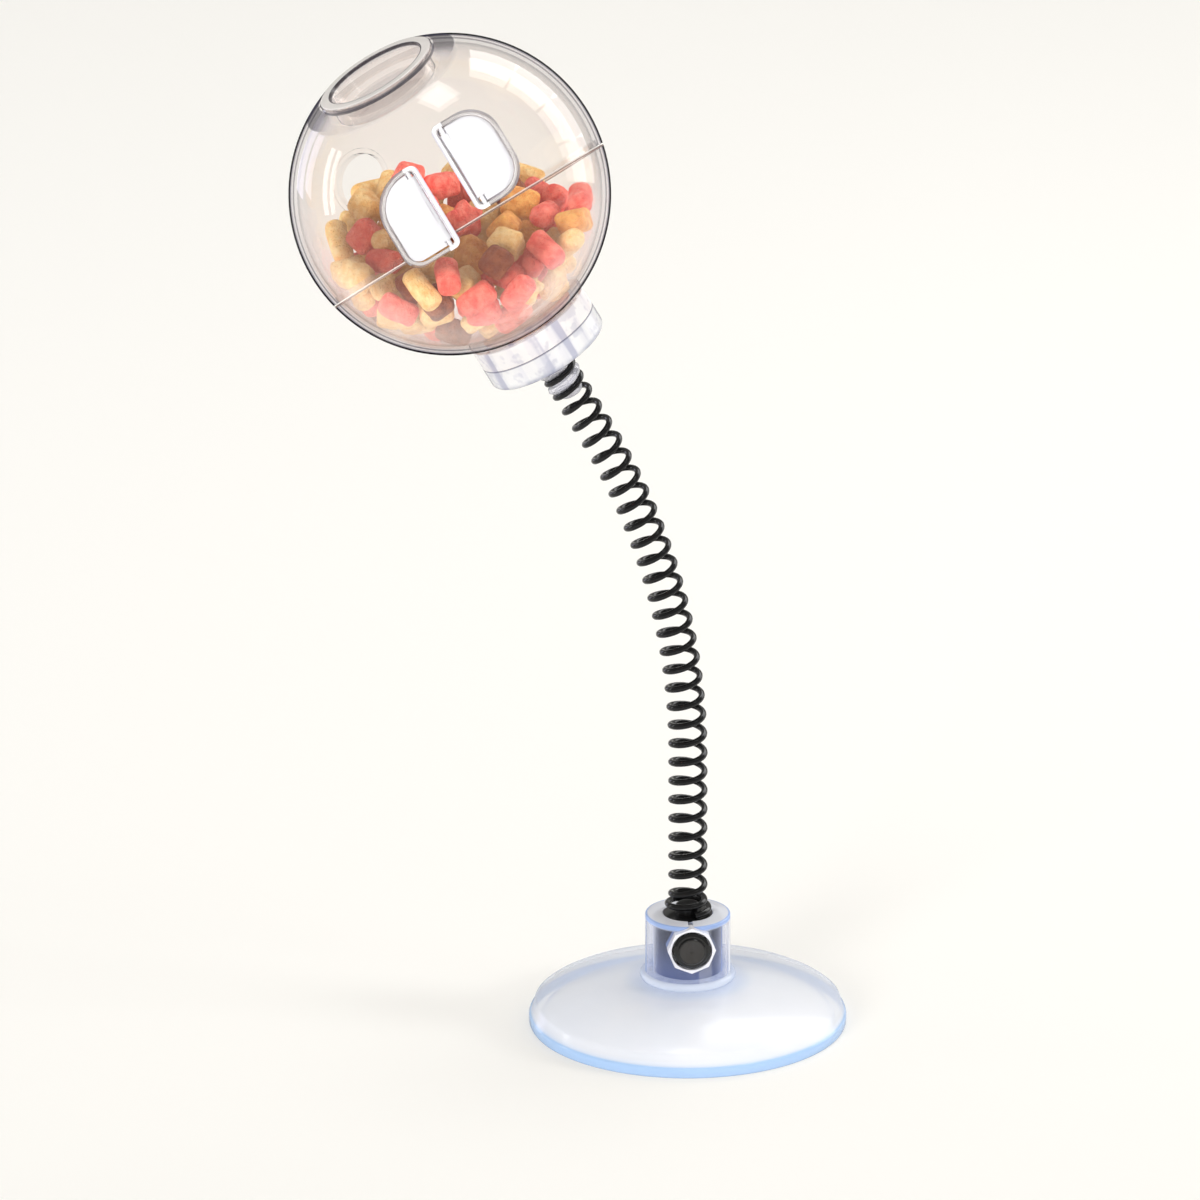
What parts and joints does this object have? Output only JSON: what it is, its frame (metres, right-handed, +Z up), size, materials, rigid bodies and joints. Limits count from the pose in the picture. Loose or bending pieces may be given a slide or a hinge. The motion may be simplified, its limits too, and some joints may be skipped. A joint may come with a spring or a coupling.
{
  "type": "spring cat treat ball",
  "caption": "Clear treat-dispensing ball with hinged flaps on a leaning coil spring above a suction cup base.",
  "frame": {"origin": "centre of the suction cup's sealing plane", "axes": "+Z up, square to the sealing plane; +X to the right as pictured, so the ball leans to -X; +Y away from the front"},
  "size_m": [0.1401, 0.0816, 0.2627],
  "materials": {
    "cup_pvc": "soft translucent pale blue PVC",
    "collar_clear": "clear plastic with a faint lilac-blue tint",
    "plug_black": "black plastic",
    "bezel_clear": "milky clear plastic",
    "screw_black": "black painted steel",
    "spring_black": "glossy black enamelled steel wire",
    "spigot_clear": "clear plastic",
    "cap_clear": "clear plastic with a faint lilac-blue tint",
    "shell_clear": "clear plastic",
    "frame_clear": "clear plastic, thick walled",
    "flap_white": "opaque white plastic",
    "treat_sand": "matt baked treat with a fine grain",
    "treat_red": "matt baked treat with a fine grain",
    "treat_orange": "matt baked treat with a fine grain",
    "treat_brown": "matt baked treat with a fine grain"
  },
  "bodies": {
    "cup": {"suction_cup": "cup_pvc"},
    "base": {"collar": "collar_clear", "spring_plug": "plug_black", "screw_bezel": "bezel_clear"},
    "screw": {"clamp_screw": "screw_black"},
    "stem": {"spring": "spring_black"},
    "head": {"spigot": "spigot_clear", "neck_cap": "cap_clear"},
    "ball": {"lower_shell": "shell_clear", "sand_sticks": "treat_sand", "sand_pillows": "treat_sand", "sand_stars": "treat_sand", "red_sticks": "treat_red", "red_pillows": "treat_red", "red_stars": "treat_red", "orange_pillows": "treat_orange", "brown_pillows": "treat_brown"},
    "lid": {"upper_shell": "shell_clear", "left_frame": "frame_clear", "right_frame": "frame_clear", "left_flap_pin": "frame_clear", "right_flap_pin": "frame_clear"},
    "left_flap": {"left_flap": "flap_white"},
    "right_flap": {"right_flap": "flap_white"},
    "filler": {"filler_lid": "shell_clear"}
  },
  "joints": [
    {"name": "cup_press", "type": "slide", "parent": "cup", "child": "base", "axis": [0, 0, 1], "range_m": [-0.0025, 0], "stiffness_N_per_m": 3000, "springref_m": 0.001, "deforming": ["suction_cup"]},
    {"name": "clamp_screw_turn", "type": "hinge", "parent": "base", "child": "screw", "pos_m": [0, 0, 0.0234], "axis": [0.0872, -0.9962, 0], "range_deg": [0, 540]},
    {"name": "sway_side", "type": "hinge", "parent": "base", "child": "stem", "pos_m": [0, 0, 0.075], "axis": [0, 1, 0], "range_deg": [-35, 45], "stiffness_Nm_per_rad": 0.6, "springref_deg": 3.69, "deforming": ["spring"]},
    {"name": "sway_front", "type": "hinge", "parent": "stem", "child": "head", "pos_m": [-0.0082, 0, 0.125], "axis": [1, 0, 0], "range_deg": [-30, 30], "stiffness_Nm_per_rad": 0.6, "springref_deg": 0.04, "deforming": ["spring"]},
    {"name": "ball_turn", "type": "hinge", "parent": "head", "child": "ball", "pos_m": [-0.05969, 0, 0.22233], "axis": [-0.5, 0, 0.866], "range_deg": [0, 60]},
    {"name": "lid_lift", "type": "slide", "parent": "ball", "child": "lid", "axis": [-0.5195, 0.3062, 0.7977], "range_m": [0, 0.03]},
    {"name": "left_flap_swing", "type": "hinge", "parent": "lid", "child": "left_flap", "pos_m": [-0.06465, -0.03718, 0.23225], "axis": [-0.5194, 0.2845, 0.8058], "range_deg": [0, 75]},
    {"name": "right_flap_swing", "type": "hinge", "parent": "lid", "child": "right_flap", "pos_m": [-0.05635, -0.03313, 0.24225], "axis": [0.5168, -0.4008, -0.7565], "range_deg": [0, 75]},
    {"name": "filler_lid_pull", "type": "slide", "parent": "lid", "child": "filler", "axis": [-0.5, 0, 0.866], "range_m": [0, 0.012]}
  ]
}
